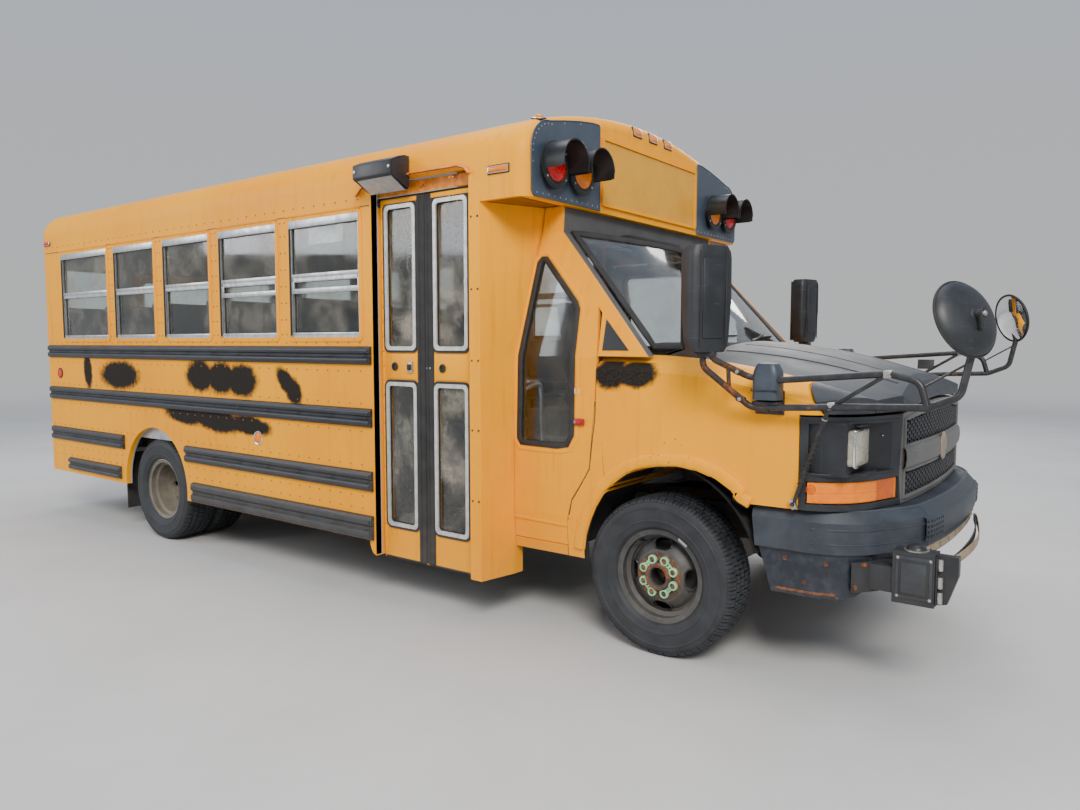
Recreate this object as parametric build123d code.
from build123d import *
from math import sin, cos, tan, atan2, radians, degrees, sqrt, pi, hypot
import os

# Short school bus on a cutaway van chassis. Millimetres, +X forward, +Y left, +Z up.
# Everything is laid out from the front axle (x = 0 there) and moved by FRONT_AXLE_X on export,
# so that the stored origin is on the ground at mid length.

# ---------------------------------------------------------------- driving dimensions
FRONT_AXLE_X = 2342.0      # stored origin to front axle
WHEELBASE = 4039.0         # 159 in
REAR_AXLE_X = -WHEELBASE
TYRE_R = 375.0             # 245/70R16
TYRE_W = 240.0
BEAD_R = 203.0
FLANGE_R = 221.0
FRONT_WHEEL_Y = 874.0      # front wheel centre plane
REAR_OUT_Y = 1074.0        # rear outer tyre centre plane
REAR_IN_Y = 820.0          # rear inner tyre centre plane
REAR_MOUNT_Y = 947.0       # face the two rear wheels meet on
STEER_Y = 727.0            # steering axis
HALF_W = 1219.0            # 96 in body
WALL = 45.0                # wall and roof thickness
BODY_REAR = -5860.0
CAP_REAR = -1060.0         # joint between roof and front cap
CAP_FRONT = -592.0
ROOF_R = 3600.0            # crown radius
EDGE_R = 200.0             # roof edge radius
CROWN_Z = 2700.0
# where the roof edge arc starts, tangent to the crown arc
SPRING_Z = CROWN_Z - ROOF_R + sqrt((ROOF_R - EDGE_R) ** 2 - (HALF_W - EDGE_R) ** 2)
SPLIT_Z = 2202.0           # side panel meets roof
REAR_FILLET = 110.0
REAR_SPLIT_X = -5745.0     # side and roof panels meet the rear wall
SKIRT_FRONT_Z = 343.0      # skirt bottom ahead of the rear wheels
SKIRT_REAR_Z = 372.0       # skirt bottom behind them
FLOOR_TOP = 740.0
FLOOR_T = 50.0
ARCH_X = -4062.0           # rear wheel arch centre
ARCH_Z = 400.0
ARCH_R = 436.0
SILL_Z = 1476.0            # window openings
HEAD_Z = 2196.0
CAB_W = 1003.0             # cab half width
CAB_GAP_X = -333.0         # door cut, rear edge of the fenders
CAB_UNDER_Z = 2150.0       # underside of the front cap
# entry door: leaves set back from the skin, their edges and the opening they stand in
LEAF_REAR_X0, LEAF_REAR_X1 = -1642.0, -1309.0
LEAF_FRONT_X0, LEAF_FRONT_X1 = -1303.0, -955.0
LEAF_Y0, LEAF_Y1 = -1159.0, -1125.0
DOOR_Z0, DOOR_Z1 = 252.0, 2242.0
DOOR_HOLE_X0, DOOR_HOLE_X1 = -1655.0, -942.0
DOOR_HEAD_Z = 2318.0
POST_FRONT_X = -872.0
LEFT_B_X = -1420.0         # left side: body starts behind the van door
HOOD_REAR_X = 98.0
HOOD_Y = 790.0             # hood side edge
HOOD_FRONT_Z = 1172.0      # hood leading edge at the corners
HOOD_MID_Z = 1205.0        # and in the middle
GRILLE_Y = 600.0           # grille meets the lamp bezels
SKIN = 22.0                # hood and fender shell thickness
STEER_MAX = 32.0

# side window openings: rear x, front x (right side; the left side is the same)
WINDOWS = [(-2400, -1744), (-3151, -2507), (-3858, -3251), (-4576, -3964), (-5473, -4667)]

RAIL_END_X = -1668.0
# rub rails: x rear, x front, z low, z high, stands proud by
RAILS_RIGHT = [(-5740, RAIL_END_X, 1336, 1440, 22), (-5740, RAIL_END_X, 985, 1092, 22),
               (-3620, RAIL_END_X, 622, 738, 22), (-5736, -4500, 640, 752, 22),
               (-3541, RAIL_END_X, 345, 485, 26), (-5440, -4565, 402, 502, 24)]
RAILS_LEFT = [(a, (b if b < -4000 else LEFT_B_X - 160), c, d, e) for a, b, c, d, e in RAILS_RIGHT]

# bench rows: x of the cushion's front edge, right side and left side
BENCH_X_RIGHT = [-2150, -2880, -3610, -4340, -5070]
BENCH_X_LEFT = [-1950, -2690, -3420, -4150, -4880]
BENCH_IN, BENCH_OUT = 250.0, 1150.0
BENCH_DEPTH, BENCH_TOP, BENCH_T = 400.0, 1180.0, 120.0
BACK_TOP, BACK_T = 1760.0, 75.0

parts = {}


# ---------------------------------------------------------------- helpers
def bx(x0, x1, y0, y1, z0, z1):
    return Pos((x0 + x1) / 2, (y0 + y1) / 2, (z0 + z1) / 2) * Box(abs(x1 - x0), abs(y1 - y0), abs(z1 - z0))


def prism_xz(pts, y0, y1):
    f = Polyline(*[(x, 0, z) for x, z in pts], close=True)
    return extrude(make_face(f), amount=(y1 - y0), dir=(0, 1, 0)).moved(Location((0, y0, 0)))


def prism_xy(pts, z0, z1):
    f = Polyline(*[(x, y, 0) for x, y in pts], close=True)
    return extrude(make_face(f), amount=(z1 - z0), dir=(0, 0, 1)).moved(Location((0, 0, z0)))


def prism_yz(pts, x0, x1):
    f = Polyline(*[(0, y, z) for y, z in pts], close=True)
    return extrude(make_face(f), amount=(x1 - x0), dir=(1, 0, 0)).moved(Location((x0, 0, 0)))


def prism_off(pts, grow, y0, y1):
    # the same outline grown by an even gap
    f = offset(make_face(Polyline(*[(x, z, 0) for x, z in pts], close=True)), amount=grow, kind=Kind.INTERSECTION)
    return (Rot(90, 0, 0) * extrude(f, amount=(y1 - y0), dir=(0, 0, 1))).moved(Location((0, y1, 0)))


def rod(p, q, r, r2=None):
    p, q = Vector(*p), Vector(*q)
    d = q - p
    pl = Plane(origin=p, z_dir=d)
    if r2 is None:
        return pl * Cylinder(r, d.length, align=(Align.CENTER, Align.CENTER, Align.MIN))
    return pl * Cone(r, r2, d.length, align=(Align.CENTER, Align.CENTER, Align.MIN))


def tube(pts, r, bend):
    path = FilletPolyline(*pts, radius=bend) if len(pts) > 2 else Line(*pts)
    start = Plane(origin=path @ 0, z_dir=path % 0)
    return sweep(start * Circle(r), path=path)


def flip(s):
    return mirror(s, about=Plane.XZ)


def ring_y(profile, y_axis_x, y_axis_z):
    # profile: (radius, y) points of a closed outline, turned about an axle along Y
    f = make_face(Polyline(*[(r, y, 0) for r, y in profile], close=True))
    return revolve(f, axis=Axis.Y, revolution_arc=360).moved(Location((y_axis_x, 0, y_axis_z)))


def one(s):
    # a boolean result as one plain shape
    sol = s.solids()
    return sol[0] if len(sol) == 1 else Compound(children=list(sol))


def body_outline(inset):
    # cross-section of the passenger body, bottom at z = 200
    w, s, er = HALF_W - inset, SPRING_Z, EDGE_R - inset
    crown, rr = CROWN_Z - inset, ROOF_R - inset
    cy, cz = HALF_W - EDGE_R, SPRING_Z
    rz = CROWN_Z - ROOF_R
    a = atan2(cz - rz, cy)
    ty, tz = rr * cos(a), rz + rr * sin(a)
    ma = a / 2
    my, mz = cy + er * cos(ma), cz + er * sin(ma)
    return [Line((0, -w, 200), (0, -w, s)),
            ThreePointArc((0, -w, s), (0, -my, mz), (0, -ty, tz)),
            ThreePointArc((0, -ty, tz), (0, 0, crown), (0, ty, tz)),
            ThreePointArc((0, ty, tz), (0, my, mz), (0, w, s)),
            Line((0, w, s), (0, w, 200)),
            Line((0, w, 200), (0, -w, 200))]


def body_block(inset, x0, x1):
    f = make_face(Wire(body_outline(inset)))
    return extrude(f, amount=x1 - x0, dir=(1, 0, 0)).moved(Location((x0, 0, 0)))


def end_edges(s, x):
    return [e for e in s.edges() if abs(e.center().X - x) < 0.5 and e.center().Z > 230]


# ---------------------------------------------------------------- passenger body
outer = body_block(0, BODY_REAR, CAP_REAR)
outer = fillet(end_edges(outer, BODY_REAR), REAR_FILLET)
inner = body_block(WALL, BODY_REAR + WALL, CAP_REAR + 10)
inner = fillet(end_edges(inner, BODY_REAR + WALL), REAR_FILLET - WALL)
shell = outer - inner - bx(-6000, 0, -2000, 2000, 0, 240)

arch = Pos(ARCH_X, 0, ARCH_Z) * Rot(90, 0, 0) * Cylinder(ARCH_R, 4000)
arch += bx(ARCH_X - ARCH_R, ARCH_X + ARCH_R, -2000, 2000, 0, ARCH_Z)


def side_panel(sign, front_x):
    y0, y1 = (-1300, -1100) if sign < 0 else (1100, 1300)
    s = shell & bx(REAR_SPLIT_X, front_x, y0, y1, 200, SPLIT_Z)
    s -= bx(-6000, ARCH_X, y0, y1, 0, SKIRT_REAR_Z)
    # skirt bottom; on the right it drops to the door post with a rounded corner
    s -= prism_xz([(ARCH_X, 0), (ARCH_X, SKIRT_FRONT_Z), (-1706, SKIRT_FRONT_Z), (-1703, 318), (-1694, 292), (-1678, 272), (-1660, 264),
                   (front_x + 1, 262), (front_x + 1, 0)] if sign < 0 else
                  [(ARCH_X, 0), (ARCH_X, SKIRT_FRONT_Z), (0, SKIRT_FRONT_Z), (0, 0)], y0, y1)
    s -= arch
    for a, b in WINDOWS:
        hole = bx(a, b, y0, y1, SILL_Z, HEAD_Z)
        hole = fillet(hole.edges().filter_by(Axis.Y), 28)
        s -= hole
    return s


right = side_panel(-1, DOOR_HOLE_X0)
# entry door surround: rear jamb behind the end of the side panel, then front post with its own jamb
post = bx(DOOR_HOLE_X1, POST_FRONT_X, -HALF_W, -HALF_W + WALL, 252, SPLIT_Z)
post += bx(DOOR_HOLE_X1, DOOR_HOLE_X1 + 12, -HALF_W + WALL - 1, -1112, 252, SPLIT_Z)
parts['entry_jamb'] = bx(DOOR_HOLE_X0 - 12, DOOR_HOLE_X0, -HALF_W + WALL, -1112, 262, SPLIT_Z)
parts['side_panel_right'] = one(right)
parts['side_panel_left'] = one(side_panel(1, LEFT_B_X - 80))

roof = shell & bx(REAR_SPLIT_X, CAP_REAR, -1300, 1300, SPLIT_Z, 2800)
door_cut = bx(DOOR_HOLE_X0, DOOR_HOLE_X1, -1300, -1149, 0, DOOR_HEAD_Z)
# header plate over the leaves, set back like them
header = bx(DOOR_HOLE_X0 - 8, CAP_REAR, -1173, -1162, DOOR_Z1 + 4, DOOR_HEAD_Z + 12)
header += bx(DOOR_HOLE_X0 - 8, CAP_REAR, -1214, -1162, DOOR_HEAD_Z, DOOR_HEAD_Z + 12)
parts['roof'] = one(roof - door_cut + header)

# rear wall with emergency door opening and two windows
RD_Y, RD_Z0, RD_Z1 = 455.0, 700.0, 2110.0
RW_Y0, RW_Y1, RW_Z0, RW_Z1 = 560.0, 1060.0, 1490.0, 2100.0
PLATE_Y, PLATE_Z = 660.0, 780.0     # plate holes, 178 by 121 mm
rear = shell & bx(BODY_REAR - 10, REAR_SPLIT_X, -1300, 1300, SKIRT_REAR_Z, 2800)
hole = bx(BODY_REAR - 20, BODY_REAR + 200, -RD_Y, RD_Y, RD_Z0, RD_Z1)
hole = fillet(hole.edges().filter_by(Axis.X), 40)
rear -= hole
for s in (-1, 1):
    w = bx(BODY_REAR - 20, BODY_REAR + 200, min(s * RW_Y0, s * RW_Y1), max(s * RW_Y0, s * RW_Y1), RW_Z0, RW_Z1)
    rear -= fillet(w.edges().filter_by(Axis.X), 60)
for s in (-1, 1):
    rear -= bx(BODY_REAR - 20, BODY_REAR + 200, s * 430 - 32, s * 430 + 32, 474, 606)
for y in (-89, 89):
    for z in (-60.5, 60.5):
        rear -= Pos(BODY_REAR + 20, PLATE_Y + y, PLATE_Z + z) * Rot(0, 90, 0) * Cylinder(3.2, 200)
parts['rear_wall'] = one(rear)

# front cap: the roof section carried forward, front edge rounded, hollow, open below
cap_o = body_block(0, CAP_REAR, CAP_FRONT)
cap_o = fillet(end_edges(cap_o, CAP_FRONT), 70)
cap_i = body_block(WALL, CAP_REAR - 10, CAP_FRONT - WALL)
cap_i = fillet(end_edges(cap_i, CAP_FRONT - WALL), 30)
cap = (cap_o - cap_i) & bx(CAP_REAR, 0, -1300, 1300, CAB_UNDER_Z, 2800)
# right side of the cap ends at the entry door post, its underside closes the step from body to cab width
cap += bx(POST_FRONT_X + 2, CAP_FRONT - 60, -HALF_W + 5, -880, CAB_UNDER_Z, CAB_UNDER_Z + 18)
cap += bx(CAP_REAR, CAP_FRONT - 60, 880, HALF_W - 5, CAB_UNDER_Z, CAB_UNDER_Z + 18)
cap -= bx(CAP_REAR - 5, POST_FRONT_X + 1, -1300, -1160, 0, SPLIT_Z)
cap -= bx(CAP_REAR - 5, DOOR_HOLE_X1, -1300, -1149, 0, DOOR_HEAD_Z)
cap += bx(CAP_REAR, DOOR_HOLE_X1 + 8, -1173, -1162, DOOR_Z1 + 4, DOOR_HEAD_Z + 12)
cap += bx(CAP_REAR, DOOR_HOLE_X1 + 8, -1214, -1162, DOOR_HEAD_Z, DOOR_HEAD_Z + 12)
# lamp recess panels and raised sign frame on the front face
SIGN_Y, SIGN_Z0, SIGN_Z1 = 545.0, 2196.0, 2541.0
for z in (SIGN_Z0, SIGN_Z1):
    cap += bx(CAP_FRONT - 3, CAP_FRONT + 8, -SIGN_Y - 6, SIGN_Y + 6, z - 6, z + 6)
for s in (-1, 1):
    cap += bx(CAP_FRONT - 3, CAP_FRONT + 8, s * SIGN_Y - 6, s * SIGN_Y + 6, SIGN_Z0, SIGN_Z1)
parts['front_cap'] = one(cap)

# left: step in the body behind the van door, from body width to cab width
def thick_poly(pts, t):
    # plan-view strip: outline of a bent sheet of thickness t on the left of its path
    out = list(pts)
    back = []
    n = len(pts)
    for i in range(n):
        if i == 0:
            dx, dy = pts[1][0] - pts[0][0], pts[1][1] - pts[0][1]
        elif i == n - 1:
            dx, dy = pts[-1][0] - pts[-2][0], pts[-1][1] - pts[-2][1]
        else:
            dx, dy = pts[i + 1][0] - pts[i - 1][0], pts[i + 1][1] - pts[i - 1][1]
        L = hypot(dx, dy)
        back.append((pts[i][0] - dy / L * t, pts[i][1] + dx / L * t))
    return out + back[::-1]


# right: plate from the door post to the cab side, upright to z = 1392, then following the cab side inwards and forwards
BULK_LOW = [(POST_FRONT_X, -HALF_W), (-832, -1001), (-829.5, -935), (-862, -935), (-874, -995), (-916, -1210)]
BULK_TOP = [(POST_FRONT_X, -HALF_W), (-742, -860), (-740, -812), (-776, -812), (-788, -852), (-916, -1210)]
bulk_r = prism_xy(BULK_LOW, 252, 1392)
f_low = make_face(Polyline(*[(x, y, 1391.9) for x, y in BULK_LOW], close=True))
f_top = make_face(Polyline(*[(x, y, CAB_UNDER_Z - 1) for x, y in BULK_TOP], close=True))
bulk_r = bulk_r + loft([f_low, f_top], ruled=True) + post
bulk_l = prism_xy(thick_poly([(LEFT_B_X + 2, 1002), (LEFT_B_X - 79, HALF_W)], WALL), 345, CAB_UNDER_Z + 2)
# behind the upper part of the cab's pillar, which leans inwards
bulk_l += prism_yz([(935, 1392), (845, 1830), (815, CAB_UNDER_Z + 1), (1012, CAB_UNDER_Z + 1), (1012, 1392)], LEFT_B_X - 40, LEFT_B_X + 2)
bulk_l += bx(LEFT_B_X - 78, CAP_REAR, HALF_W - WALL, HALF_W, CAB_UNDER_Z, SPLIT_Z - 0.5)
bulk_l += bx(LEFT_B_X - 78, CAP_REAR - 0.5, 930, HALF_W - WALL, CAB_UNDER_Z, CAB_UNDER_Z + 18)
bulk_l -= bx(-2000, LEFT_B_X - 79.5, 0, 2000, 0, 3000)
parts['front_bulkheads'] = Compound(children=[one(bulk_r), one(bulk_l)])

# rub rails: ribbed strips proud of the skin
def rail(x0, x1, z0, z1, proud):
    h = z1 - z0
    y = HALF_W
    pts = [(y, z0), (y + proud * 0.75, z0 + 6), (y + proud, z0 + h * 0.16), (y + proud, z0 + h * 0.36),
           (y + proud * 0.45, z0 + h * 0.44), (y + proud * 0.45, z0 + h * 0.56), (y + proud, z0 + h * 0.64),
           (y + proud, z0 + h * 0.84), (y + proud * 0.75, z1 - 6), (y, z1)]
    return prism_yz(pts, x0, x1)


rails = [flip(rail(*r)).moved(Location((0, -0.2, 0))) for r in RAILS_RIGHT]
rails += [rail(*r).moved(Location((0, 0.2, 0))) for r in RAILS_LEFT]
parts['rub_rails'] = Compound(children=[r.solids()[0] for r in rails])

# side windows: frame ring with a meeting rail, and two sashes of glass
FR = 27.0
frames, panes = [], []
for sgn in (-1, 1):
    for a, b in WINDOWS:
        a1, b1, z0, z1 = a + 2, b - 2, SILL_Z + 2, HEAD_Z - 2
        ya, yb = HALF_W - WALL + 4, HALF_W - 5
        f = bx(a1, b1, ya, yb, z0, z1)
        f = fillet(f.edges().filter_by(Axis.Y), 26)
        mid = (z0 + z1) / 2 + 8
        f -= bx(a1 + FR, b1 - FR, ya - 5, yb + 5, z0 + FR, mid - 18)
        f -= bx(a1 + FR, b1 - FR, ya - 5, yb + 5, mid + 18, z1 - FR)
        g1 = bx(a1 + FR + 1, b1 - FR - 1, yb - 24, yb - 19, z0 + FR + 1, mid - 19)
        g2 = bx(a1 + FR + 1, b1 - FR - 1, yb - 14, yb - 9, mid + 19, z1 - FR - 1)
        for lst, s in ((frames, f), (panes, g1), (panes, g2)):
            lst.append((flip(s) if sgn < 0 else s).solids()[0])
parts['side_window_frames'] = Compound(children=frames)
for s in (-1, 1):
    g = bx(BODY_REAR + 14, BODY_REAR + 20, min(s * RW_Y0, s * RW_Y1) + 2, max(s * RW_Y0, s * RW_Y1) - 2, RW_Z0 + 2, RW_Z1 - 2)
    panes.append(fillet(g.edges().filter_by(Axis.X), 58).solids()[0])
parts['side_window_glass'] = Compound(children=panes)

# floor with cross sills, wheel boxes and step well
fl = bx(BODY_REAR + WALL + 68, -905, -1172, 1172, FLOOR_TOP - FLOOR_T, FLOOR_TOP)
fl -= bx(LEFT_B_X - 130, 0, 868, 1300, 0, 900)
fl -= bx(POST_FRONT_X - 200, 0, -1300, -1172, 0, 900)
fl -= bx(-924, 0, -1300, -925, 0, 900)
for s in (-1, 1):
    y0, y1 = (-1172, -660) if s < 0 else (660, 1172)
    fl -= bx(ARCH_X - 470, ARCH_X + 470, y0 - 5, y1 + 5, 600, 800)
    box = bx(ARCH_X - 480, ARCH_X + 480, y0, y1, FLOOR_TOP - FLOOR_T, 880)
    box -= bx(ARCH_X - 460, ARCH_X + 460, y0 + (20 if s > 0 else -5), y1 + (5 if s > 0 else -20), 600, 860)
    fl += box
sx0, sx1, sy = DOOR_HOLE_X0 - 6, DOOR_HOLE_X1 + 6, -560
fl -= bx(sx0, sx1, -1180, sy, 500, 800)
fl -= bx(DOOR_HOLE_X0 - 16, DOOR_HOLE_X1 + 16, -1180, -1108, 500, 800)
STEP1, STEP2 = 292.0, 516.0
well = bx(sx0 - 15, sx1 + 12, -1110, sy + 15, STEP1 - 30, FLOOR_TOP)
well -= bx(sx0, sx1, -1180, -855, STEP1, 900)
well -= bx(sx0, sx1, -860, sy, STEP2, 900)
well -= bx(sx0 - 20, sx1 + 20, -880 + 40, sy + 20, 0, STEP2 - 30)
fl += well
for x in range(-5600, -1000, 700):
    if abs(x - ARCH_X) < 500:
        fl += bx(x - 30, x + 30, -640, 640, FLOOR_TOP - FLOOR_T - 38, FLOOR_TOP - FLOOR_T)
    elif x > -1750:
        fl += bx(x - 30, x + 30, -540, 860, FLOOR_TOP - FLOOR_T - 38, FLOOR_TOP - FLOOR_T)
    else:
        fl += bx(x - 30, x + 30, -1160, 1160, FLOOR_TOP - FLOOR_T - 38, FLOOR_TOP - FLOOR_T)
parts['body_floor'] = one(fl)

# benches: cushion and back each side, tube frames under them
cushions, frames = [], []
for sgn, rows in ((-1, BENCH_X_RIGHT), (1, BENCH_X_LEFT)):
    for x in rows:
        seat = bx(x - BENCH_DEPTH, x, BENCH_IN, BENCH_OUT, BENCH_TOP - BENCH_T, BENCH_TOP)
        seat = fillet(seat.edges().filter_by(Axis.Y), 40)
        xb = x - BENCH_DEPTH - 6
        back = prism_xz([(xb, BENCH_TOP - 60), (xb - 90, BACK_TOP), (xb - 90 - BACK_T, BACK_TOP - 8),
                         (xb - BACK_T, BENCH_TOP - 60)], BENCH_IN, BENCH_OUT)
        back = fillet(back.edges().filter_by(Axis.Y), 24)
        leg = bx(x - BENCH_DEPTH + 10, x - 20, BENCH_IN + 20, BENCH_OUT - 20, BENCH_TOP - BENCH_T - 28, BENCH_TOP - BENCH_T - 1)
        for lx in (x - 50, x - BENCH_DEPTH + 40):
            leg += rod((lx, BENCH_IN + 45, FLOOR_TOP + 1), (lx, BENCH_IN + 45, BENCH_TOP - BENCH_T - 20), 14)
            if not ARCH_X - 560 < lx < ARCH_X + 560:
                leg += rod((lx, BENCH_OUT - 60, FLOOR_TOP + 1), (lx, BENCH_OUT - 60, BENCH_TOP - BENCH_T - 20), 14)
            else:
                leg += rod((lx, BENCH_OUT - 60, 881), (lx, BENCH_OUT - 60, BENCH_TOP - BENCH_T - 20), 14)
        for lst, s in ((cushions, seat), (cushions, back), (frames, leg)):
            lst.append((flip(s) if sgn < 0 else s).solids()[0])
parts['bench_cushions'] = Compound(children=cushions)
parts['bench_frames'] = Compound(children=frames)

# ---------------------------------------------------------------- van front: one outer form, cut into hood, fenders, grille and bezels
# sections: x, half width, shoulder z, hood edge z, crown z
FRONT_SECTIONS = [(-340, 1003, 1335, 1402, 1480), (60, 1005, 1322, 1388, 1472), (450, 1003, 1272, 1336, 1427),
                  (720, 998, 1206, 1274, 1362), (1080, 985, 1092, 1172, 1240)]
# nose outline in side view (x, z), from the hood's top down to the bumper
NOSE = [(-400, 1700), (560, 1700), (760, 1365), (870, 1318), (925, 1280), (960, 1232), (976, 1192), (986, 1140), (994, 1000), (995, 760), (995, 690), (-400, 690)]


def front_form(inset):
    secs = []
    for x, w, zs, ze, zc in FRONT_SECTIONS:
        w, zs, ze, zc = w - inset, zs - inset * 0.7, ze - inset, zc - inset
        hy = HOOD_Y + 2
        e = [Line((x, -w + 6, 690), (x, -w, zs)),
             ThreePointArc((x, -w, zs), (x, -(w + hy) / 2 - 34, (zs + ze) / 2 + 20), (x, -hy, ze)),
             ThreePointArc((x, -hy, ze), (x, 0, zc), (x, hy, ze)),
             ThreePointArc((x, hy, ze), (x, (w + hy) / 2 + 34, (zs + ze) / 2 + 20), (x, w, zs)),
             Line((x, w, zs), (x, w - 6, 690)), Line((x, w - 6, 690), (x, -w + 6, 690))]
        secs.append(make_face(Wire(e)))
    return loft(secs)


def plan_form(inset, z0, z1):
    # plan outline of the nose: straight sides, rounded corners, gently curved front
    i = inset
    ax_, ay = 795 - i * 0.6, 940 - i * 0.8
    bx_, by = 895 - i * 0.93, 805 - i * 0.37
    cx_, cy = 960 - i, 610 - i * 0.2
    e = [Line((-345, -1012 + i, 0), (600, -1006 + i, 0)),
         ThreePointArc((600, -1006 + i, 0), (ax_, -ay, 0), (bx_, -by, 0)), Line((bx_, -by, 0), (cx_, -cy, 0)),
         ThreePointArc((cx_, -cy, 0), (992 - i, 0, 0), (cx_, cy, 0)),
         Line((cx_, cy, 0), (bx_, by, 0)), ThreePointArc((bx_, by, 0), (ax_, ay, 0), (600, 1006 - i, 0)),
         Line((600, 1006 - i, 0), (-345, 1012 - i, 0)), Line((-345, 1012 - i, 0), (-345, -1012 + i, 0))]
    return extrude(make_face(Wire(e)), amount=z1 - z0, dir=(0, 0, 1)).moved(Location((0, 0, z0)))


def nose_form(inset):
    pts = [(x - (inset if x > 560 else 0), z - (inset if (z > 1260 and x > 560) else 0)) for x, z in NOSE]
    return prism_xz(pts, -1100, 1100)


form = front_form(0) & plan_form(0, 650, 1700) & nose_form(0)
form_in = front_form(SKIN) & plan_form(SKIN, 640, 1700) & nose_form(SKIN)
clip = form - form_in

def above_edge(dz, x0=600):
    # everything above the hood's leading edge line, which rises in the middle
    z0, z1 = HOOD_FRONT_Z + dz, HOOD_MID_Z + dz
    w = [Line((0, -1100, z0), (0, -620, z0)), ThreePointArc((0, -620, z0), (0, 0, z1), (0, 620, z0)), Line((0, 620, z0), (0, 1100, z0)),
         Line((0, 1100, z0), (0, 1100, 1700)), Line((0, 1100, 1700), (0, -1100, 1700)), Line((0, -1100, 1700), (0, -1100, z0))]
    return extrude(make_face(Wire(w)), amount=1200 - x0, dir=(1, 0, 0)).moved(Location((x0, 0, 0)))


# hood: top panel, wider ahead of x = 748 where it wraps down to the leading edge
hood_mask = bx(HOOD_REAR_X, 760, -HOOD_Y, HOOD_Y, 1172, 1700) + (above_edge(0, 740) & bx(740, 1200, -HOOD_Y, HOOD_Y, 1100, 1700))
hood_mask += prism_xz([(664, 1500), (1100, 1500), (1100, HOOD_FRONT_Z), (750, HOOD_FRONT_Z), (664, 1288)], -1100, 1100)
hood = clip & hood_mask
hood -= bx(800, 1200, -1100, 1100, 1000, 1700) - above_edge(0, 790)
hood -= bx(300, 640, -1100, -HOOD_Y - 0.5, 1000, 1400)
parts['hood'] = one(hood)

fender_cut = bx(-330, 1100, -HOOD_Y - 6, HOOD_Y + 6, 600, 1700)
fender_cut += prism_xz([(656, 1500), (1100, 1500), (1100, HOOD_FRONT_Z - 8), (744, HOOD_FRONT_Z - 8), (656, 1284)], -1100, 1100)
fender_cut += bx(652, 1100, -1100, 1100, 600, HOOD_FRONT_Z - 4)
fender_cut += bx(-400, CAB_GAP_X + 4, -1100, 1100, 600, 1700)
# front wheel arch: one smooth outline from the lower rear corner to the bumper
arch_w = [Line((-440, 380, 0), (-402, 380, 0)), Line((-402, 380, 0), (-402, 446, 0)), ThreePointArc((-402, 446, 0), (-362, 596, 0), (-288, 735, 0)),
          ThreePointArc((-288, 735, 0), (-164, 846, 0), (20, 901, 0)), ThreePointArc((20, 901, 0), (200, 897, 0), (361, 824, 0)),
          Line((361, 824, 0), (408, 770, 0)), Line((408, 770, 0), (440, 640, 0)), Line((440, 640, 0), (440, 380, 0)), Line((440, 380, 0), (-440, 380, 0))]
WHEEL_ARCH = (Rot(90, 0, 0) * extrude(make_face(Wire(arch_w[1:-1] + [Line((440, 380, 0), (-402, 380, 0))])), amount=2200, dir=(0, 0, 1))).moved(Location((0, 1100, 0)))
fender_cut += WHEEL_ARCH
fender_cut += bx(404, 700, -1100, 1100, 600, 776)
fend = clip - fender_cut
fend_r = [s for s in fend.solids() if s.center().Y < 0]
fend_l = [s for s in fend.solids() if s.center().Y > 0]


# cab side section: y, z from rocker to roof
CAB_SECTION = [(985, 400), (1001, 600), (1003, 1000), (992, 1392), (905, 1830), (866, 2010), (858, CAB_UNDER_Z - 1)]


def cab_side_strip(x0, x1, t, z0=400, z1=CAB_UNDER_Z - 1):
    o = [(y, z) for y, z in CAB_SECTION]
    i = [(y - t, z) for y, z in CAB_SECTION]
    s = prism_yz(o + i[::-1], x0, x1)
    return s & bx(x0 - 1, x1 + 1, 700, 1100, z0, z1)


# behind the wheel the fender runs down along the door cut
FENDER_LOW = [(-320, 1187), (-337, 1187), (-364, 845), (-466, 690), (-496, 575), (-496, 400), (-380, 400), (-280, 760), (-310, 1187)]


def fender(side_solids, sgn):
    f = side_solids[0]
    for s in side_solids[1:]:
        f = f + s
    low = (cab_side_strip(-500, -270, SKIN) & prism_xz(FENDER_LOW, 700, 1100)) - WHEEL_ARCH
    f = f + (low if sgn > 0 else flip(low))
    # wheel house liner and inner apron
    y0, y1 = (560, 978)
    liner = Pos(-5, (y0 + y1) / 2, 425) * Rot(90, 0, 0) * (Cylinder(496, y1 - y0) - Cylinder(487, y1 - y0 + 20))
    liner = liner & bx(-600, 560, 500, 1000, 560, 1000)
    liner = liner - bx(-600, CAB_GAP_X + 6, 500, 1000, 560, 700)
    apron = bx(-54, 610, 560, 574, 770, 1150)
    rib = bx(560, 574, 560, 985, 790, 1150)
    inner_part = liner + apron + rib
    inner_part = inner_part + bx(596, 610, 560, 984, 790, 1150)
    return f + (inner_part if sgn > 0 else flip(inner_part))


fr = fender(fend_r, -1)
fl_ = fender(fend_l, 1)
fr_s = sorted(fr.solids(), key=lambda s: -s.volume)[0]
fl_s = sorted(fl_.solids(), key=lambda s: -s.volume)[0]
parts['fenders'] = Compound(children=[fr_s, fl_s])

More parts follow.
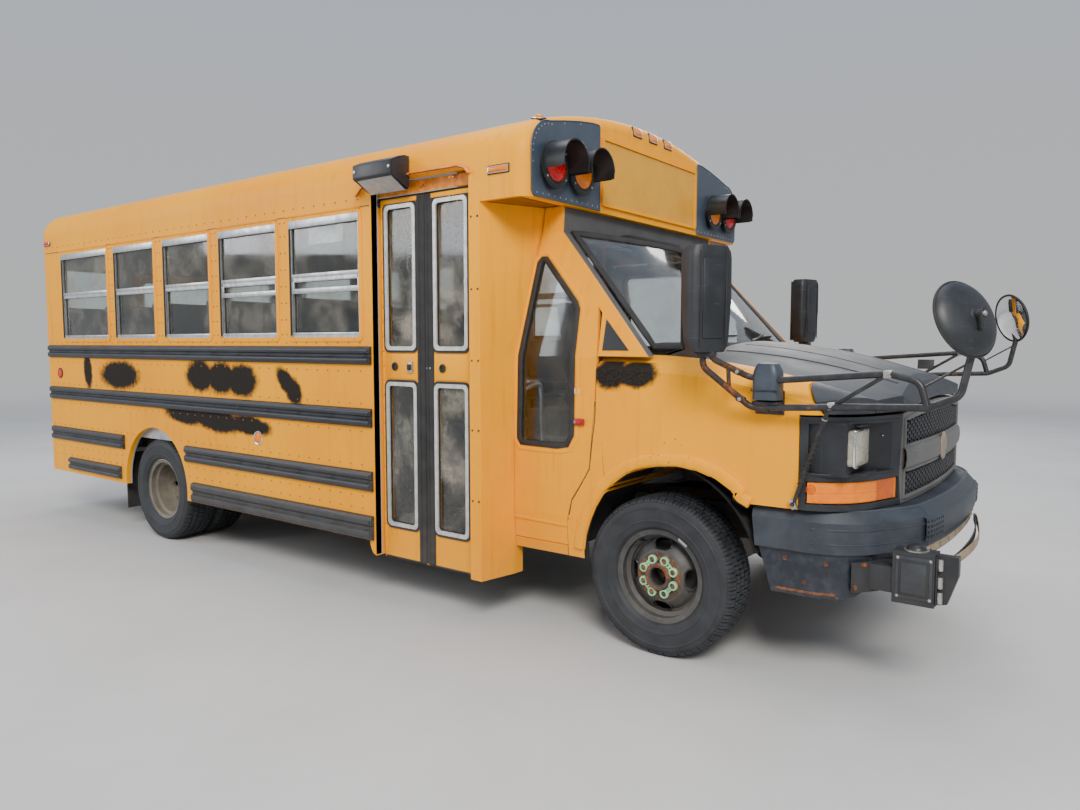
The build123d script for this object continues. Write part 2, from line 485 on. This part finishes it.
# grille with crossbar and the lamp bezels in one moulding
BEZ_Z0, BEZ_Z1 = 776.0, HOOD_FRONT_Z - 12
gform = (form & bx(657, 1100, -1100, 1100, BEZ_Z0, 1300)) - above_edge(-12) - bx(600, 760, -560, 560, 700, 1300)
grille = gform - (front_form(60) & plan_form(60, 640, 1700) & nose_form(60))
for z0, z1 in ((806, 908), (1028, HOOD_MID_Z - 40)):
    w0 = GRILLE_Y - 24
    cut = bx(880, 1200, -w0, w0, z0, z1)
    if z1 > 1000:
        cut -= above_edge(-46)
    grille -= cut
    # mesh panel set back in the opening
    mesh = (form & bx(870, 1100, -w0 - 4, w0 + 4, z0 - 4, z1 + 4)) & (front_form(32) & plan_form(32, 640, 1700) & nose_form(32))
    mesh -= (front_form(44) & plan_form(44, 640, 1700) & nose_form(44))
    grille += mesh - above_edge(-40)
LAMP_Z0, LAMP_Z1 = 803.0, 897.0      # turn lamp slot
HEAD_Z0, HEAD_Z1 = 932.0, 1132.0     # headlamp recess
for s in (-1, 1):
    # headlamp recess: open to the front and to the side, lens face looks forward
    y0, y1 = 636.0, 1100.0
    # headlamp recess; its inner wall slants from the lamp out to the grille frame
    rec = bx(836, 1200, y0, y1, HEAD_Z0, HEAD_Z1) - prism_xy([(834, 772), (992, 634), (992, 560), (800, 560)], 700, 1300)
    wall = prism_xy([(834, 771), (991, 633), (983, 622), (822, 762)], HEAD_Z0 - 6, HEAD_Z1 + 6) & form
    rec2 = bx(690, 836, 976, 1100, HEAD_Z0, HEAD_Z1)
    back = bx(700, 836, 700, 975, HEAD_Z0 - 8, HEAD_Z1 + 8)
    turn = bx(683, 1200, y0 - 10, 1100, LAMP_Z0, LAMP_Z1)
    if s < 0:
        rec, rec2, back, turn, wall = flip(rec), flip(rec2), flip(back), flip(turn), flip(wall)
    grille -= turn
    grille -= rec + rec2
    grille += back
    grille += wall
parts['grille'] = one(grille)

# lamps behind the bezels: sealed headlamps and wrap-round turn lamps, warning lamps, tail lamps
lamps = []
turn_form = (front_form(9) & plan_form(9, 640, 1700) & nose_form(9)) - (front_form(40) & plan_form(40, 640, 1700) & nose_form(40))
for s in (-1, 1):
    hl = bx(836.5, 862, 772, 960, 964, 1108)
    hl = fillet(hl.edges().filter_by(Axis.X), 16)
    tl = turn_form & bx(687, 1100, 631, 1100, LAMP_Z0 + 4, LAMP_Z1 - 4)
    for q in (hl, tl):
        q = flip(q) if s < 0 else q
        lamps.append(sorted(q.solids(), key=lambda v: -v.volume)[0])
# warning lamps: y, z, radius, on the front face (+1) and on the rear face (-1)
WARN = [(1015, 2318, 92), (782, 2318, 92)]
for face_x, d in ((CAP_FRONT, 1), (BODY_REAR, -1)):
    for y, z, r in WARN:
        for s in (-1, 1):
            zz = z if d > 0 else z + 42
            yy = s * (y if d > 0 else y - 40)
            l = rod((face_x + d * 0.5, yy, zz), (face_x + d * 34, yy, zz), r)
            # open visor over the lamp
            v = rod((face_x + d * 34, yy, zz), (face_x + d * 158, yy, zz), r + 14)
            v -= rod((face_x + d * 33, yy, zz), (face_x + d * 160, yy, zz), r + 8)
            v &= Pos(face_x + d * 100, yy, zz + 100) * Box(320, 400, 260)
            base = rod((face_x + d * 30, yy, zz), (face_x + d * 40, yy, zz), r + 14)
            base -= rod((face_x + d * 29, yy, zz), (face_x + d * 41, yy, zz), r - 12)
            lamps.append((l + base + v).solids()[0])
# tail lamps on the rear wall: y, z, radius
for y, z, r in ((930, 1290, 92), (930, 1080, 92), (930, 900, 55)):
    for s in (-1, 1):
        lamps.append(rod((BODY_REAR - 0.5, s * y, z), (BODY_REAR - 28, s * y, z), r).solids()[0])
# loading lamp above the entry door
lamp_box = prism_yz([(-1219.5, 2336), (-1219.5, 2420), (-1255, 2424), (-1345, 2388), (-1345, 2330), (-1330, 2316), (-1240, 2262), (-1222, 2262), (-1222, 2336)], -1640, -1362)
lamps.append(sorted(lamp_box.solids(), key=lambda v: -v.volume)[0])
parts['lamps'] = Compound(children=lamps)

# front bumper: plastic cover over a steel lower bar
def bumper_face(x_add, y_add, z):
    f, a = x_add, y_add
    m = (f + a) / 2
    half = [Line((430, 990 + a, 0), (680, 986 + a, 0)), ThreePointArc((680, 986 + a, 0), (850 + m * 0.5, 926 + m * 0.8, 0), (945 + m * 0.8, 805 + m * 0.5, 0)),
            ThreePointArc((945 + m * 0.8, 805 + m * 0.5, 0), (1014 + m * 0.9, 690 + m * 0.3, 0), (1066 + f, 560, 0))]
    e = [Line((430, -990 - a, 0), (680, -986 - a, 0)), ThreePointArc((680, -986 - a, 0), (850 + m * 0.5, -926 - m * 0.8, 0), (945 + m * 0.8, -805 - m * 0.5, 0)),
         ThreePointArc((945 + m * 0.8, -805 - m * 0.5, 0), (1014 + m * 0.9, -690 - m * 0.3, 0), (1066 + f, -560, 0)),
         ThreePointArc((1066 + f, -560, 0), (1104 + f, 0, 0), (1066 + f, 560, 0))] + half + [Line((430, 990 + a, 0), (430, -990 - a, 0))]
    return make_face(Wire(e)).moved(Location((0, 0, z)))


def bumper_plan(x_add, y_add, z0, z1):
    return extrude(bumper_face(x_add, y_add, z0), amount=z1 - z0, dir=(0, 0, 1))


bump = loft([bumper_face(0, 0, 600), bumper_face(0, 0, 728), bumper_face(-38, -30, 772)], ruled=True)
bump -= bumper_plan(-60, -50, 590, 735)
bump -= bumper_plan(-250, -190, 590, 800)
bump -= prism_xz([(300, 560), (300, 900), (452, 900), (452, 762), (470, 600), (470, 560)], -1100, 1100)
steel = bumper_plan(-14, -14, 412, 598)
steel -= bumper_plan(-60, -60, 400, 610)
steel -= prism_xz([(300, 380), (300, 640), (470, 640), (540, 412), (560, 380)], -1100, 1100)
# the lower edge rises towards the front
steel -= prism_xz([(820, 380), (820, 413), (860, 424), (920, 470), (960, 512), (1000, 548), (1200, 552), (1200, 380)], -1100, 1100)
# brackets from the steel bar to the chassis rails
parts['front_bumper'] = one(bump)
steel_s = steel
for s in (-1, 1):
    steel_s += bx(905, 1045, s * 400 - 22, s * 400 + 22, 500, 590)
parts['bumper_steel'] = one(steel_s)

# crossing arm unit on the right of the bumper: plate, box, hinge wedge and a thin bowed strip; its long arm is missing
unit = (bumper_plan(6, 6, 449, 574) - bumper_plan(-12, -12, 440, 580)) & bx(855, 1012, -1010, -700, 449, 574)
unit += bx(1000, 1155, -884, -790, 430, 640)
unit += bx(880, 1002, -872, -802, 462, 566) - bumper_plan(4, 4, 380, 900)
unit += prism_xz([(1150, 436), (1196, 446), (1233, 560), (1233, 636), (1150, 636)], -856, -816)
bow = [Line((1150, -795, 0), (1186, -640, 0)), ThreePointArc((1186, -640, 0), (1186, -250, 0), (1108, 318, 0)), Line((1108, 318, 0), (1102, 318, 0)),
       ThreePointArc((1102, 318, 0), (1180, -250, 0), (1180, -640, 0)), Line((1180, -640, 0), (1144, -795, 0)), Line((1144, -795, 0), (1150, -795, 0))]
unit += extrude(make_face(Wire(bow)), amount=36, dir=(0, 0, 1)).moved(Location((0, 0, 560)))
parts['crossing_arm_unit'] = one(unit)

# ---------------------------------------------------------------- cab shell
# right: fixed panel with the tall vision window
RP = [(-828, 455), (-828, 1392), (-734, CAB_UNDER_Z - 1), (-690, CAB_UNDER_Z - 1), (-660, 2040), (CAB_GAP_X - 25, 1668), (CAB_GAP_X, 1400), (CAB_GAP_X - 8, 1187), (-368, 845), (-470, 690), (-500, 575), (-500, 455)]
VIS = [(-792, 975), (-792, 1395), (-740, 1868), (-726, 1884), (-708, 1884), (-492, 1652), (-478, 1620), (-474, 1010), (-500, 962), (-560, 952), (-780, 955)]
panel = cab_side_strip(-860, -300, 46) & prism_xz(RP, 700, 1100)
panel -= prism_xz(VIS, 700, 1100)
panel = flip(panel)
parts['cab_side_right'] = one(panel)
vis_glass = cab_side_strip(-860, -300, 46) & prism_xz([(x + (3 if x < -720 else -3), z + (-3 if z > 1400 else 3)) for x, z in VIS], 700, 1100)
vis_glass -= prism_yz([(y - 8, z) for y, z in CAB_SECTION] + [(y - 80, z) for y, z in CAB_SECTION[::-1]], -900, -200)
vis_glass = flip(vis_glass).moved(Location((0, 6, 0)))

# outline of the driver's door opening and door (left)
DOOR_OUT = [(LEFT_B_X + 50, 575), (LEFT_B_X + 50, 1940), (LEFT_B_X + 90, 2006), (-662, 2006), (-640, 1960), (-338, 1610), (-338, 1400), (-346, 1187), (-376, 845), (-476, 690), (-506, 575)]
# pillars, header, rockers, cowl, firewall and cab floor


def pillar():
    # windshield pillar follows the cab side section
    o = [(y, z) for y, z in CAB_SECTION if z > 1300]
    i = [(y - 70, z) for y, z in CAB_SECTION if z > 1300]
    s = prism_yz(o + i[::-1], -720, 0)
    band = prism_xz([(-62, 1396), (-327, 1396), (-329, 1603), (-655, 2000), (-684, 2046), (-684, CAB_UNDER_Z - 1), (-628, CAB_UNDER_Z - 1), (-622, 2020)], 600, 1100)
    return s & band


shell_cab = bx(-684, -628, -800, 800, 2030, CAB_UNDER_Z - 1)
for s in (-1, 1):
    p = pillar()
    shell_cab += (flip(p) if s < 0 else p)
# cowl: shelf below the windshield joined to the pillars, firewall below it
cowl = prism_xz([(-330, 1330), (-330, 1392), (-62, 1398), (40, 1430), (90, 1405), (90, 1380), (40, 1380), (-60, 1330)], -792, 792)
fire = bx(-80, -60, -780, 780, 926, 1332) + bx(-80, -60, -556, 556, 760, 930)
shell_cab += cowl + fire
toe = prism_xz([(-60, 760), (-80, 760), (-480, 690), (-480, 670), (-440, 670)], -540, 540)
floor_cab = bx(-902, -478, -545, 905, 670, 690)
floor_cab -= bx(-478, 0, -600, -545, 600, 800)
shell_cab += toe + floor_cab
for s, xr in ((-1, -828), (1, LEFT_B_X + 5)):
    rocker = prism_yz([(940, 400), (985, 400), (1000, 560), (1000, 568), (900, 568), (900, 700), (880, 700), (880, 540), (940, 540)], xr, -500)
    rocker = rocker if s > 0 else flip(prism_yz([(940, 400), (985, 400), (997, 452), (900, 452), (900, 700), (880, 700), (880, 440), (940, 440)], xr, -500))
    shell_cab += rocker
# left rear pillar of the van door
bp = cab_side_strip(LEFT_B_X + 4, LEFT_B_X + 40, 60, 560)
shell_cab += bp
# roof rail over the van door, between the pillar and the windshield header
shell_cab += bx(LEFT_B_X + 4, -640, 800, 857, 2015, CAB_UNDER_Z - 1)
shell_cab += bx(-731, -640, -808, -750, 2052, CAB_UNDER_Z - 1)
shell_cab -= flip(cab_side_strip(-860, -300, 48) & prism_xz(RP, 700, 1100))
shell_cab -= cab_side_strip(LEFT_B_X + 41, -330, 76) & prism_off(DOOR_OUT, 6, 700, 1100)
parts['cab_shell'] = one(shell_cab)

# windshield: curved sheet between the cowl line and the header line
def ws_section(z, xs, xc, w, t):
    e = [ThreePointArc((xs, -w, z), (xc, 0, z), (xs, w, z)), Line((xs, w, z), (xs - t, w, z)),
         ThreePointArc((xs - t, w, z), (xc - t, 0, z), (xs - t, -w, z)), Line((xs - t, -w, z), (xs, -w, z))]
    return make_face(Wire(e))


ws = loft([ws_section(1436, -96, 22, 868, 9), ws_section(2026, -612, -532, 790, 9)])
parts['cab_glass'] = Compound(children=[ws.solids()[0], sorted(vis_glass.solids(), key=lambda v: -v.volume)[0]])

# driver's door (left), hinged at its front edge
DOOR_WIN = [(LEFT_B_X + 120, 1425), (LEFT_B_X + 128, 1900), (LEFT_B_X + 150, 1930), (-700, 1930), (-440, 1600), (-440, 1425)]
dd = cab_side_strip(LEFT_B_X + 40, -330, 70) & prism_xz(DOOR_OUT, 700, 1100)
dd -= prism_xz(DOOR_WIN, 700, 1100)
parts['driver_door'] = one(dd)
dg = cab_side_strip(LEFT_B_X + 40, -330, 70) & prism_xz([(x + (4 if x < -900 else -4), z + (4 if z < 1500 else -4)) for x, z in DOOR_WIN], 700, 1100)
dg -= prism_yz([(y - 14, z) for y, z in CAB_SECTION] + [(y - 90, z) for y, z in CAB_SECTION[::-1]], -1500, -200)
dg -= prism_yz([(y + 40, z) for y, z in CAB_SECTION] + [(y - 8, z) for y, z in CAB_SECTION[::-1]], -1500, -200)
parts['driver_door_glass'] = one(sorted(dg.solids(), key=lambda v: -v.volume)[0])

# dash, steering wheel with column, driver's seat
dash = prism_xz([(-84, 1000), (-84, 1325), (-330, 1325), (-400, 1250), (-380, 1120), (-260, 1020)], -775, 775)
dash = fillet(dash.edges().filter_by(Axis.Y), 18)
parts['dash'] = one(dash)
SW_C, SW_TILT = (-560.0, 420.0, 1235.0), 38.0
swp = Plane(origin=SW_C, x_dir=(0, 1, 0), z_dir=(-cos(radians(SW_TILT)), 0, sin(radians(SW_TILT))))
sw = swp * Torus(195, 15)
sw += swp * Pos(0, 0, -25) * Cylinder(58, 40)
for a in (-20, 200, 90):
    sw += swp * Rot(0, 0, a) * Pos(115, 0, -12) * Box(170, 34, 14)
sw += swp * Pos(0, 0, -95) * Cylinder(30, 130)
parts['steering_wheel'] = one(sw)
seat = bx(-1290, -790, 170, 670, 990, 1110)
seat = fillet(seat.edges(), 30)
back = prism_xz([(-1235, 1090), (-1330, 1740), (-1430, 1730), (-1345, 1080)], 180, 660)
back = fillet(back.edges().filter_by(Axis.Y), 30)
head = bx(-1445, -1350, 290, 550, 1745, 1900)
head = fillet(head.edges(), 28)
ped = bx(-1200, -880, 250, 590, 741, 1000)
seat = seat + back + ped + head + rod((-1388, 420, 1700), (-1392, 420, 1800), 12)
parts['driver_seat'] = one(seat)

# ---------------------------------------------------------------- entry door leaves (hinged at their outer edges)
def leaf(x0, x1, gx0, gx1):
    y0, y1 = LEAF_Y0, LEAF_Y1
    s = bx(x0, x1, y0, y1, DOOR_Z0, DOOR_Z1)
    g = []
    for z0, z1 in ((448, 1233), (1430, 2194)):
        s -= bx(gx0, gx1, y0 - 5, y1 + 5, z0, z1)
        g.append(bx(gx0 + 1, gx1 - 1, y0 + 12, y0 + 18, z0 + 1, z1 - 1))
    return s, Compound(children=[v.solids()[0] for v in g])


# meeting seals are part of the leaves' inner edges
s, g = leaf(LEAF_REAR_X0, LEAF_REAR_X1, -1600, -1385)
parts['entry_door_rear'], parts['entry_door_rear_glass'] = one(s), g
s, g = leaf(LEAF_FRONT_X0, LEAF_FRONT_X1, -1230, -1012)
parts['entry_door_front'], parts['entry_door_front_glass'] = one(s), g

# ---------------------------------------------------------------- rear emergency door, hinged on the right
rd = bx(BODY_REAR + 2, BODY_REAR + 40, -RD_Y + 6, RD_Y - 6, RD_Z0 + 6, RD_Z1 - 6)
rd = fillet(rd.edges().filter_by(Axis.X), 34)
glass_r = []
for z0, z1 in ((1490, 2030), (860, 1330)):
    w = bx(BODY_REAR - 10, BODY_REAR + 60, -340, 340, z0, z1)
    rd -= fillet(w.edges().filter_by(Axis.X), 40)
    g = bx(BODY_REAR + 15, BODY_REAR + 21, -338, 338, z0 + 2, z1 - 2)
    glass_r.append(fillet(g.edges().filter_by(Axis.X), 38).solids()[0])
parts['rear_door'] = one(rd)
parts['rear_door_glass'] = Compound(children=glass_r)

rb = bx(BODY_REAR - 95, BODY_REAR - 6, -1130, 1130, 391, 640)
rb = fillet([e for e in rb.edges().filter_by(Axis.Z) if e.center().X < BODY_REAR - 50], 60)
rb -= bx(BODY_REAR - 87, BODY_REAR + 10, -1122, 1122, 399, 632)
for s_ in (-1, 1):
    rb += bx(BODY_REAR - 92, BODY_REAR + 115, s_ * 430 - 26, s_ * 430 + 26, 480, 600)
parts['rear_bumper'] = one(rb)

# stop arm on the left side: octagonal blade folded flat, hinged at its front edge
SA_X, SA_Z, SA_R = -2080.0, 1210.0, 225.0
oct_pts = [(SA_X + SA_R / cos(pi / 8) * cos(pi / 8 + i * pi / 4), SA_Z + SA_R / cos(pi / 8) * sin(pi / 8 + i * pi / 4)) for i in range(8)]
SA_Y = HALF_W + 52
sa = prism_xz(oct_pts, SA_Y, SA_Y + 6)
sa += bx(SA_X + 190, SA_X + 300, SA_Y - 2, SA_Y + 8, SA_Z - 70, SA_Z + 70)
sa += rod((SA_X + 300, SA_Y + 3, SA_Z - 90), (SA_X + 300, SA_Y + 3, SA_Z + 90), 9)
parts['stop_arm'] = one(sa)
mount = bx(SA_X + 255, SA_X + 345, HALF_W + 0.5, HALF_W + 40, SA_Z - 85, SA_Z + 85)
for z in (-108, 100):
    mount += bx(SA_X + 280, SA_X + 320, HALF_W + 20, SA_Y + 14, SA_Z + z, SA_Z + z + 8)
mount += bx(SA_X + 255, SA_X + 345, HALF_W + 0.5, HALF_W + 40, SA_Z - 108, SA_Z + 108)
parts['stop_arm_mount'] = one(mount)

# ---------------------------------------------------------------- mirrors on tube brackets
# side: head centre x, z low, z high, foot x, foot z, round mirror centre x, z, radius, direction its face looks
MIRRORS = {'right': (320, 1422, 1853, 530, 1225, 1268, 1546, 140, (-0.81, -0.47, -0.34)),
           'left': (-75, 1465, 1879, 230, 1272, 1150, 1602, 135, (-0.73, -0.655, -0.21))}


def mirror_set(side):
    # modelled at positive y, then flipped for the right side
    hx, hz0, hz1, fx_, fz, dx_, dz_, dr, (nx, ny, nz) = MIRRORS[side]
    head = bx(-52, 52, -100, 100, hz0, hz1)
    head = fillet(head.edges(), 26)
    head = head.rotate(Axis.Z, 31.7 if side == 'right' else -14.5).moved(Location((hx, 1175, 0)))
    foot_y = 1052
    clamp = bx(fx_ - 60, fx_ + 60, 1007, foot_y + 24, fz - 60, fz + 150)
    clamp += bx(fx_ - 60, fx_ + 60, 870, 1020, fz + 130, fz + 150)
    clamp -= form_in
    clamp -= form
    clamp = sorted(clamp.solids(), key=lambda v: -v.volume)[0]
    r = 12
    t = [tube([(hx + 20, 1175, hz0 + 25), (hx + 24, 1175, hz0 - 25), (fx_ - 70, foot_y + 12, fz + 95), (fx_ + 20, foot_y + 12, fz + 85)], r, 20)]
    t += [tube([(hx - 15, 1175, hz0 + 25), (hx - 15, 1175, hz0 - 60), (fx_ - 60, foot_y + 12, fz - 30), (fx_ + 20, foot_y + 12, fz - 35)], r, 25)]
    # two long tubes forward to the round mirror, joined by a brace, and a strut down to the fender
    up = [(fx_, foot_y + 12, fz + 80), (dx_ - 258, 1075, 1345 + dz_ - 1546), (dx_ - 148, 1085, 1320 + dz_ - 1546), (dx_ - 118, 1090, 1218 + dz_ - 1546)]
    lo = [(fx_, foot_y + 12, fz - 30), (dx_ - 368, 1070, 1215 + dz_ - 1546), (dx_ - 118, 1090, 1225 + dz_ - 1546), (dx_ - 13, 1098, 1270 + dz_ - 1546),
          (dx_ + 17, 1100, 1420 + dz_ - 1546), (dx_ - 6, 1100, 1505 + dz_ - 1546)]
    t += [tube(up, r, 50), tube(lo, r, 45)]
    t += [rod((dx_ - 468, 1064, 1213 + dz_ - 1546), (dx_ - 262, 1074, 1343 + dz_ - 1546), 9)]
    t += [rod((790, 1062, 1208) if side == 'right' else (700, 1064, 1262), (640, 1012, 800), 9)]
    pl = Plane(origin=(dx_, 1100, dz_), z_dir=(-nx, -ny, -nz))
    dish = pl * Cone(dr, dr * 0.86, 24)
    dish += pl * Pos(0, 0, 20) * Cone(dr * 0.86, dr * 0.42, 17)
    s = head + clamp
    for q in t:
        s = s + q
    s = s + dish + rod((dx_ - 6, 1100, 1500 + dz_ - 1546), (dx_, 1100, dz_), r)
    return sorted(s.solids(), key=lambda v: -v.volume)


parts['mirrors'] = Compound(children=[flip(v) for v in mirror_set('right')] + [v for v in mirror_set('left')])

# ---------------------------------------------------------------- chassis
RAIL_Y, RAIL_Z0, RAIL_Z1 = 430.0, 480.0, 648.0
fr = None
for s in (-1, 1):
    c = bx(-5700, 900, min(s * (RAIL_Y - 65), s * RAIL_Y), max(s * (RAIL_Y - 65), s * RAIL_Y), RAIL_Z0, RAIL_Z1)
    c -= bx(-5800, 1000, min(s * (RAIL_Y - 70), s * (RAIL_Y - 8)), max(s * (RAIL_Y - 70), s * (RAIL_Y - 8)), RAIL_Z0 + 8, RAIL_Z1 - 8)
    fr = c if fr is None else fr + c
for x in (-5600, -4700, -3350, -2500, -1700, 640, 860):
    fr += bx(x - 30, x + 30, -RAIL_Y + 6, RAIL_Y - 6, RAIL_Z0 + 66, RAIL_Z1 - 20)
parts['chassis_frame'] = one(fr)

parts['engine_block'] = bx(-50, 600, -300, 300, 500, 1120)
gear = bx(-560, -96, -190, 190, 430, 656) + bx(-97, -56, -190, 190, 478, 656) + rod((-560, 0, 540), (-900, 0, 520), 90, 60)
gear += rod((-890, 0, 520), (REAR_AXLE_X + 190, 0, 385), 42)
parts['driveshaft'] = one(gear)
ax = rod((REAR_AXLE_X, -752, TYRE_R), (REAR_AXLE_X, 752, TYRE_R), 52)
ax += Pos(REAR_AXLE_X, 0, TYRE_R) * Rot(90, 0, 0) * Cylinder(165, 190)
ax += rod((REAR_AXLE_X, 0, TYRE_R), (REAR_AXLE_X + 185, 0, TYRE_R + 10), 100, 60)
for s in (-1, 1):
    y = s * 530
    pk = prism_xz([(REAR_AXLE_X - 720, 505), (REAR_AXLE_X - 720, 520), (REAR_AXLE_X - 60, 440), (REAR_AXLE_X + 60, 440), (REAR_AXLE_X + 720, 520),
                   (REAR_AXLE_X + 720, 505), (REAR_AXLE_X + 70, 385), (REAR_AXLE_X - 70, 385)], y - 38, y + 38)
    ax += pk
    for x in (-720, 720):
        ax += bx(REAR_AXLE_X + x - 25, REAR_AXLE_X + x + 25, min(s * (RAIL_Y + 1), y + s * 38), max(s * (RAIL_Y + 1), y + s * 38), 500, 600)
parts['rear_axle'] = one(ax)

# front suspension: cross-member and arms; the knuckles turn between the arms' ends
fs = bx(-90, 90, -420, 420, 300, 470)
for s in (-1, 1):
    low = prism_xy([(-190, s * 380), (190, s * 380), (34, s * 760), (-34, s * 760)], 206, 232)
    upper = prism_xy([(-120, s * 436), (120, s * 436), (30, s * 752), (-30, s * 752)], 534, 556)
    fs += low + upper
    fs += bx(-130, 130, min(s * 360, s * 420), max(s * 360, s * 420), 206, 320)
    fs += bx(-120, 120, min(s * 432, s * 470), max(s * 432, s * 470), 470, 556)
    fs += bx(-90, 90, min(s * 400, s * 470), max(s * 400, s * 470), 440, 479)
    fs += rod((0, s * 560, 228), (0, s * 560, 500), 52)
    fs += bx(-60, 60, min(s * 440, s * 615), max(s * 440, s * 615), 480, 500)
parts['front_suspension'] = one(fs)


def knuckle(s):
    # upright with steering arm and stub axle; ball studs top and bottom leave a thin gap to the arms
    k = bx(-45, 45, 702, 750, 246, 528)
    k += rod((0, STEER_Y, 237), (0, STEER_Y, 530), 14)
    k += rod((0, 740, TYRE_R), (0, 806, TYRE_R), 60, 34)
    k += bx(-170, -30, 708, 742, 268, 292)
    return k if s > 0 else flip(k)


parts['knuckle_left'] = one(knuckle(1))
parts['knuckle_right'] = one(knuckle(-1))
TIE_X = -155.0
tie = rod((TIE_X, -725, 252), (TIE_X, 725, 252), 11)
parts['tie_rod'] = one(tie)

tank = bx(-3280, -2560, -880, -480, 300, 600)
tank = fillet(tank.edges(), 40)
parts['fuel_tank'] = one(tank)
ex = rod((-2300, 235, 395), (-1700, 235, 395), 105)
ex += tube([(-1710, 235, 395), (-1000, 250, 400), (-620, 280, 390)], 32, 80)
ex += tube([(-2290, 235, 395), (-3380, 235, 395), (-3640, 235, 550), (-4430, 235, 550), (-4680, 235, 330), (-5910, 235, 330)], 32, 100)
parts['exhaust'] = one(ex)
flaps = [bx(-4600, -4590, min(s * 690, s * 1168), max(s * 690, s * 1168), 165, 600) for s in (-1, 1)]
parts['mudflaps'] = Compound(children=[f for f in flaps])

# ---------------------------------------------------------------- wheels
def tyre(cy):
    h = TYRE_W / 2
    # half section: radius, offset from the centre plane
    prof = [(BEAD_R + 2, -83), (BEAD_R + 2, 83), (FLANGE_R + 2.5, 84), (FLANGE_R + 6, h - 15), (262, h - 2), (300, h), (337, h - 4), (361, h - 14),
            (371, h - 28), (TYRE_R - 1, h - 50), (TYRE_R, 0), (TYRE_R - 1, -h + 50), (371, -h + 28), (361, -h + 14), (337, -h + 4), (300, -h),
            (262, -h + 2), (FLANGE_R + 6, -h + 15), (FLANGE_R + 2.5, -84)]
    return ring_y([(r, y + cy) for r, y in prof], 0, 0)


def barrel(cy):
    # rim barrel: flanges, bead seats and drop centre
    h = 84.0
    prof = [(FLANGE_R, -h - 9), (FLANGE_R, -h - 2), (BEAD_R + 1, -h), (BEAD_R + 1, -52), (186, -40), (186, 40), (BEAD_R + 1, 52), (BEAD_R + 1, h),
            (FLANGE_R, h + 2), (FLANGE_R, h + 9), (BEAD_R - 7, h + 4), (BEAD_R - 7, 56), (178, 44), (178, -44), (BEAD_R - 7, -56), (BEAD_R - 7, -h - 4)]
    return ring_y([(r, y + cy) for r, y in prof], 0, 0)


def disc(points, holes, long_, wide, hole_ring, y_mid):
    d = ring_y(points, 0, 0)
    for i in range(holes):
        a = 2 * pi * i / holes
        d -= Pos(hole_ring * cos(a), y_mid, hole_ring * sin(a)) * Rot(0, -degrees(a), 0) * Rot(90, 0, 0) * extrude(SlotOverall(long_, wide, rotation=90), amount=70, both=True)
    return d


# front wheel (left, outer face towards +Y): disc bulges outward to the hub face
f_disc = disc([(62, 948), (62, 958), (108, 958), (124, 950), (150, 925), (168, 905), (180, 903), (180, 893), (162, 895), (142, 915), (118, 940), (104, 948)],
              4, 96, 50, 146, 920)
f_hub = ring_y([(0, 815), (0, 890), (42, 890), (42, 975), (46, 984), (60, 984), (66, 975), (66, 960), (62, 957), (63, 949), (96, 949), (96, 930), (58, 925), (58, 860), (150, 856), (150, 832), (60, 828), (60, 815)], 0, 0)
front_rim = barrel(FRONT_WHEEL_Y) + f_disc + f_hub
r_disc_o = disc([(60, 948), (60, 957), (112, 957), (126, 962), (148, 990), (162, 1020), (168, 1048), (182, 1050), (182, 1040), (172, 1036), (168, 1014), (156, 984), (134, 954), (112, 948)],
                8, 39, 26, 146, 972)
r_disc_i = mirror(r_disc_o, about=Plane(origin=(0, REAR_MOUNT_Y, 0), z_dir=(0, 1, 0)))
r_hub = ring_y([(0, 760), (0, 1030), (52, 1030), (62, 1020), (62, 940), (80, 930), (80, 900), (160, 890), (160, 790), (90, 780), (90, 760)], 0, 0)
rear_rim = barrel(REAR_OUT_Y) + barrel(REAR_IN_Y) + r_disc_o + r_disc_i + r_hub

for side, s in (('left', 1), ('right', -1)):
    for name, shape, ax_x in (('front', tyre(FRONT_WHEEL_Y), 0.0), ('rear', None, REAR_AXLE_X)):
        if name == 'front':
            t = [shape]
            rm = front_rim
        else:
            t = [tyre(REAR_OUT_Y), tyre(REAR_IN_Y)]
            rm = rear_rim
        t = [v if s > 0 else flip(v) for v in t]
        rm = rm if s > 0 else flip(rm)
        t = [v.moved(Location((ax_x, 0, TYRE_R))).solids()[0] for v in t]
        rm = rm.moved(Location((ax_x, 0, TYRE_R)))
        parts[('tyre_front_' if name == 'front' else 'tyres_rear_') + side] = t[0] if len(t) == 1 else Compound(children=t)
        parts[('rim_front_' if name == 'front' else 'rims_rear_') + side] = one(rm)

# ---------------------------------------------------------------- export
os.makedirs("parts", exist_ok=True)
for name, shape in parts.items():
    moved = Pos(FRONT_AXLE_X, 0, 0) * shape
    export_step(moved, "parts/%s.step" % name)
    b = moved.bounding_box()
    print("%-24s solids %2d  x %7.0f..%7.0f  y %7.0f..%7.0f  z %6.0f..%6.0f" % (name, len(shape.solids()), b.min.X, b.max.X, b.min.Y, b.max.Y, b.min.Z, b.max.Z))
print("nodes", len(parts))
